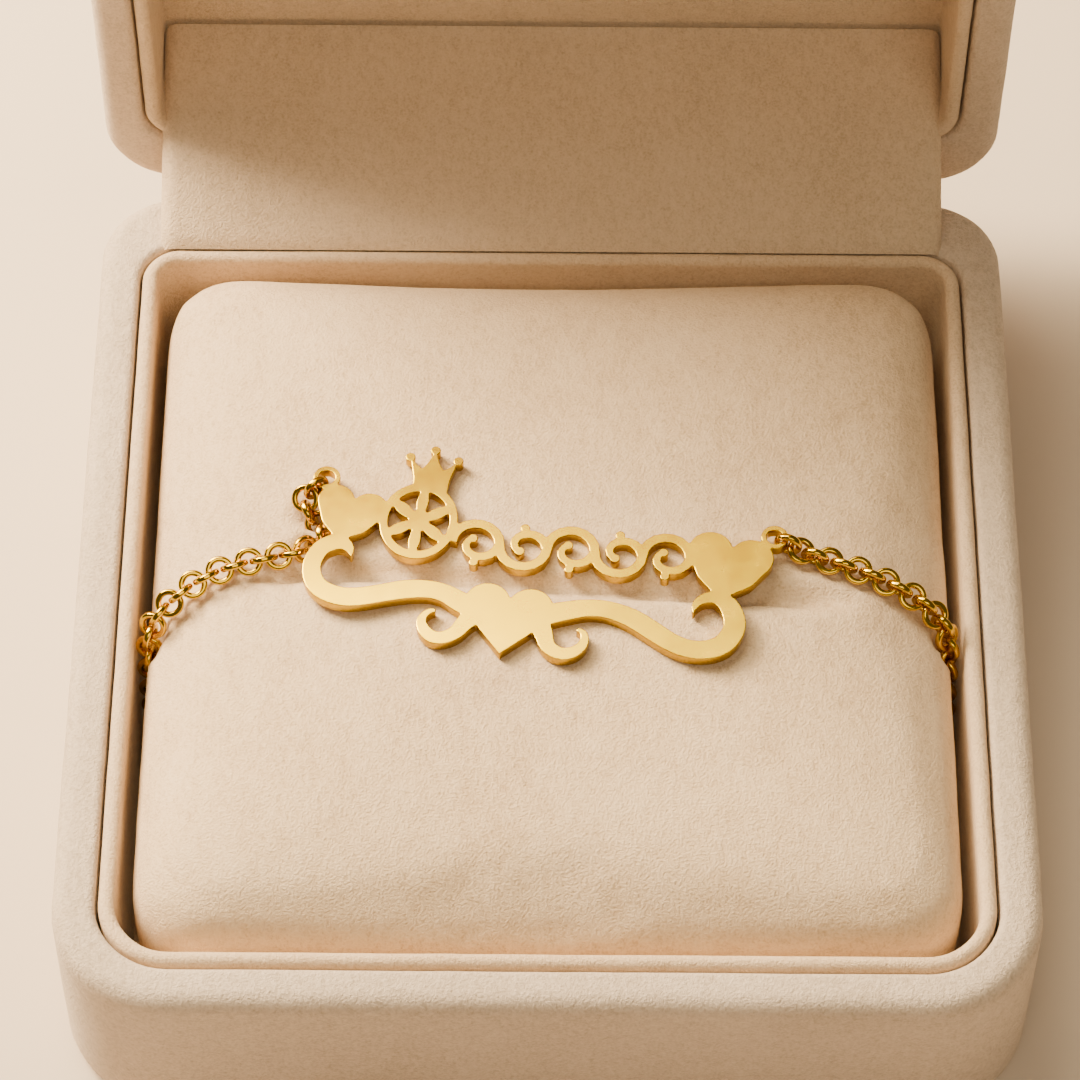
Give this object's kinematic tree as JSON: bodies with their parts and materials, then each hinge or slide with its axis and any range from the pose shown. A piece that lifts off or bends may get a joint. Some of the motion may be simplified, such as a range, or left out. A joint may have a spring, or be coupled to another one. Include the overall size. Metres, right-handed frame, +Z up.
{
  "type": "nameplate bracelet on a pillow in a jewellery box",
  "caption": "Flat pierced plate with hearts, a crown, a rosette, a vine and a long scroll, on a round-link chain wrapped round the pillow of an open hinged jewellery box.",
  "frame": {"origin": "on the underside of the box, under the centre of the pillow", "axes": "+X to the right, +Y to the back where the lid stands, +Z up"},
  "size_m": [0.0904, 0.1108, 0.1111],
  "materials": {
    "plate_gold": "mirror-polished yellow gold",
    "chain_gold": "polished yellow gold",
    "pillow_suede": "soft suede nap",
    "liner_suede": "soft suede nap",
    "shell_velvet": "short velvet pile",
    "lining_suede": "soft suede nap",
    "pin_brass": "plain"
  },
  "bodies": {
    "box": {"nameplate": "plate_gold", "chain_left": "chain_gold", "chain_right": "chain_gold", "clasp": "chain_gold", "pillow": "pillow_suede", "base_liner": "liner_suede", "box_base": "shell_velvet", "hinge_pin": "pin_brass", "hinge_flap": "lining_suede"},
    "lid": {"box_lid": "shell_velvet", "lid_liner": "lining_suede"}
  },
  "joints": [
    {"name": "lid_hinge", "type": "hinge", "parent": "box", "child": "lid", "pos_m": [0, 0.0481, 0.0178], "axis": [1, 0, 0], "range_deg": [0, 90], "deforming": ["hinge_flap"]}
  ]
}
